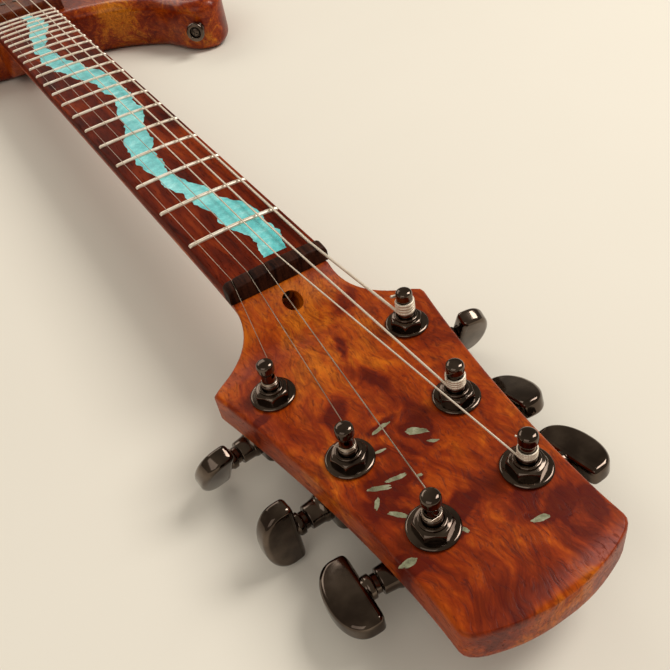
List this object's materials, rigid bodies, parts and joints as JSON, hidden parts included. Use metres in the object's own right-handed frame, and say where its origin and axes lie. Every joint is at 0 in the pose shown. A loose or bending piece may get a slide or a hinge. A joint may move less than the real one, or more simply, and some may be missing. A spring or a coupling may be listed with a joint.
{
  "type": "electric guitar",
  "caption": "Solid electric guitar lying on its back: burl body with two horns, dark fretboard with a turquoise river, black nickel tuners.",
  "frame": {"origin": "on the flat back of the body, on the centre line, under the middle of the saddle line", "axes": "+Z out of the guitar's face, +Y along the neck towards the headstock, +X towards the treble side"},
  "size_m": [0.3365, 0.9571, 0.0578],
  "materials": {
    "body_burl": "glossy clear coat over dark red-orange burl",
    "neck_wood": "satin, burl face with stone-filled voids",
    "board_wood": "oiled dark red-brown, with bright fret wires",
    "cover_wood": "satin",
    "turquoise": "polished stone and resin fill",
    "nut_wood": "polished black",
    "black_nickel": "black nickel plate, mirror gloss",
    "steel": "plain",
    "wound_wire": "fine round winding, warm bright",
    "plain_wire": "plain drawn wire"
  },
  "bodies": {
    "guitar": {"body": "body_burl", "neck": "neck_wood", "truss_rod": "steel", "fretboard": "board_wood", "fretboard_inlay": "turquoise", "nut": "nut_wood", "tuner_housing_1": "black_nickel", "tuner_bushing_1": "black_nickel", "tuner_housing_2": "black_nickel", "tuner_bushing_2": "black_nickel", "tuner_housing_3": "black_nickel", "tuner_bushing_3": "black_nickel", "tuner_housing_4": "black_nickel", "tuner_bushing_4": "black_nickel", "tuner_housing_5": "black_nickel", "tuner_bushing_5": "black_nickel", "tuner_housing_6": "black_nickel", "tuner_bushing_6": "black_nickel", "string_1": "wound_wire", "string_2": "wound_wire", "string_3": "wound_wire", "string_4": "plain_wire", "string_5": "plain_wire", "string_6": "plain_wire", "ferrule_block": "black_nickel", "bridge_plate": "black_nickel", "neck_pickup": "cover_wood", "bridge_pickup": "cover_wood", "volume_pot": "steel", "tone_pot": "steel", "selector_switch": "black_nickel", "output_jack": "black_nickel", "strap_button_horn": "black_nickel", "strap_screw_horn": "steel", "strap_button_tail": "black_nickel", "strap_screw_tail": "steel", "control_cover": "cover_wood"},
    "rod_nut": {"truss_rod_nut": "steel"},
    "post_1": {"tuner_post_1": "black_nickel"},
    "key_1": {"tuner_key_1": "black_nickel"},
    "post_2": {"tuner_post_2": "black_nickel"},
    "key_2": {"tuner_key_2": "black_nickel"},
    "post_3": {"tuner_post_3": "black_nickel"},
    "key_3": {"tuner_key_3": "black_nickel"},
    "post_4": {"tuner_post_4": "black_nickel"},
    "key_4": {"tuner_key_4": "black_nickel"},
    "post_5": {"tuner_post_5": "black_nickel"},
    "key_5": {"tuner_key_5": "black_nickel"},
    "post_6": {"tuner_post_6": "black_nickel"},
    "key_6": {"tuner_key_6": "black_nickel"},
    "saddle_slide_1": {"saddle_1": "black_nickel"},
    "saddle_slide_2": {"saddle_2": "black_nickel"},
    "saddle_slide_3": {"saddle_3": "black_nickel"},
    "saddle_slide_4": {"saddle_4": "black_nickel"},
    "saddle_slide_5": {"saddle_5": "black_nickel"},
    "saddle_slide_6": {"saddle_6": "black_nickel"},
    "volume": {"volume_knob": "black_nickel"},
    "tone": {"tone_knob": "black_nickel"},
    "lever": {"switch_lever": "black_nickel"}
  },
  "joints": [
    {"name": "key_turn_1", "type": "hinge", "parent": "guitar", "child": "key_1", "pos_m": [-0.02948, 0.69327, 0.0145], "axis": [-0.9877, 0.1564, 0], "continuous": true},
    {"name": "post_turn_1", "type": "hinge", "parent": "guitar", "child": "post_1", "pos_m": [-0.0287, 0.6982, 0.035], "axis": [0, 0, 1], "continuous": true},
    {"name": "key_turn_2", "type": "hinge", "parent": "guitar", "child": "key_2", "pos_m": [-0.02029, 0.73397, 0.0145], "axis": [-0.9969, 0.0785, 0], "continuous": true},
    {"name": "post_turn_2", "type": "hinge", "parent": "guitar", "child": "post_2", "pos_m": [-0.0199, 0.73895, 0.035], "axis": [0, 0, 1], "continuous": true},
    {"name": "key_turn_3", "type": "hinge", "parent": "guitar", "child": "key_3", "pos_m": [-0.01809, 0.76942, 0.0145], "axis": [-0.9981, -0.061, 0], "continuous": true},
    {"name": "post_turn_3", "type": "hinge", "parent": "guitar", "child": "post_3", "pos_m": [-0.0184, 0.77441, 0.035], "axis": [0, 0, 1], "continuous": true},
    {"name": "key_turn_4", "type": "hinge", "parent": "guitar", "child": "key_4", "pos_m": [0.01589, 0.76942, 0.0145], "axis": [0.9981, -0.061, 0], "continuous": true},
    {"name": "post_turn_4", "type": "hinge", "parent": "guitar", "child": "post_4", "pos_m": [0.0162, 0.77441, 0.035], "axis": [0, 0, 1], "continuous": true},
    {"name": "key_turn_5", "type": "hinge", "parent": "guitar", "child": "key_5", "pos_m": [0.02269, 0.73397, 0.0145], "axis": [0.9969, 0.0785, 0], "continuous": true},
    {"name": "post_turn_5", "type": "hinge", "parent": "guitar", "child": "post_5", "pos_m": [0.0223, 0.73895, 0.035], "axis": [0, 0, 1], "continuous": true},
    {"name": "key_turn_6", "type": "hinge", "parent": "guitar", "child": "key_6", "pos_m": [0.02968, 0.69327, 0.0145], "axis": [0.9877, 0.1564, 0], "continuous": true},
    {"name": "post_turn_6", "type": "hinge", "parent": "guitar", "child": "post_6", "pos_m": [0.0289, 0.6982, 0.035], "axis": [0, 0, 1], "continuous": true},
    {"name": "saddle_travel_1", "type": "slide", "parent": "guitar", "child": "saddle_slide_1", "axis": [0, 1, 0], "range_m": [0, 0.003]},
    {"name": "saddle_travel_2", "type": "slide", "parent": "guitar", "child": "saddle_slide_2", "axis": [0, 1, 0], "range_m": [0, 0.003]},
    {"name": "saddle_travel_3", "type": "slide", "parent": "guitar", "child": "saddle_slide_3", "axis": [0, 1, 0], "range_m": [0, 0.003]},
    {"name": "saddle_travel_4", "type": "slide", "parent": "guitar", "child": "saddle_slide_4", "axis": [0, 1, 0], "range_m": [0, 0.003]},
    {"name": "saddle_travel_5", "type": "slide", "parent": "guitar", "child": "saddle_slide_5", "axis": [0, 1, 0], "range_m": [0, 0.003]},
    {"name": "saddle_travel_6", "type": "slide", "parent": "guitar", "child": "saddle_slide_6", "axis": [0, 1, 0], "range_m": [0, 0.003]},
    {"name": "rod_nut_turn", "type": "hinge", "parent": "guitar", "child": "rod_nut", "pos_m": [0, 0.6484, 0.0383], "axis": [0, 1, 0], "range_deg": [-180, 180]},
    {"name": "volume_turn", "type": "hinge", "parent": "guitar", "child": "volume", "pos_m": [0.09202, -0.05, 0.04], "axis": [0, 0, 1], "range_deg": [0, 270]},
    {"name": "tone_turn", "type": "hinge", "parent": "guitar", "child": "tone", "pos_m": [0.11418, -0.07837, 0.04], "axis": [0, 0, 1], "range_deg": [0, 270]},
    {"name": "switch_tilt", "type": "hinge", "parent": "guitar", "child": "lever", "pos_m": [0.06986, -0.02163, 0.037], "axis": [1, 0, 0], "range_deg": [-14, 14]}
  ],
  "couplings": [
    {"joint": "post_turn_1", "follows": "key_turn_1", "ratio": 0.0625},
    {"joint": "post_turn_2", "follows": "key_turn_2", "ratio": 0.0625},
    {"joint": "post_turn_3", "follows": "key_turn_3", "ratio": 0.0625},
    {"joint": "post_turn_4", "follows": "key_turn_4", "ratio": -0.0625},
    {"joint": "post_turn_5", "follows": "key_turn_5", "ratio": -0.0625},
    {"joint": "post_turn_6", "follows": "key_turn_6", "ratio": -0.0625}
  ]
}
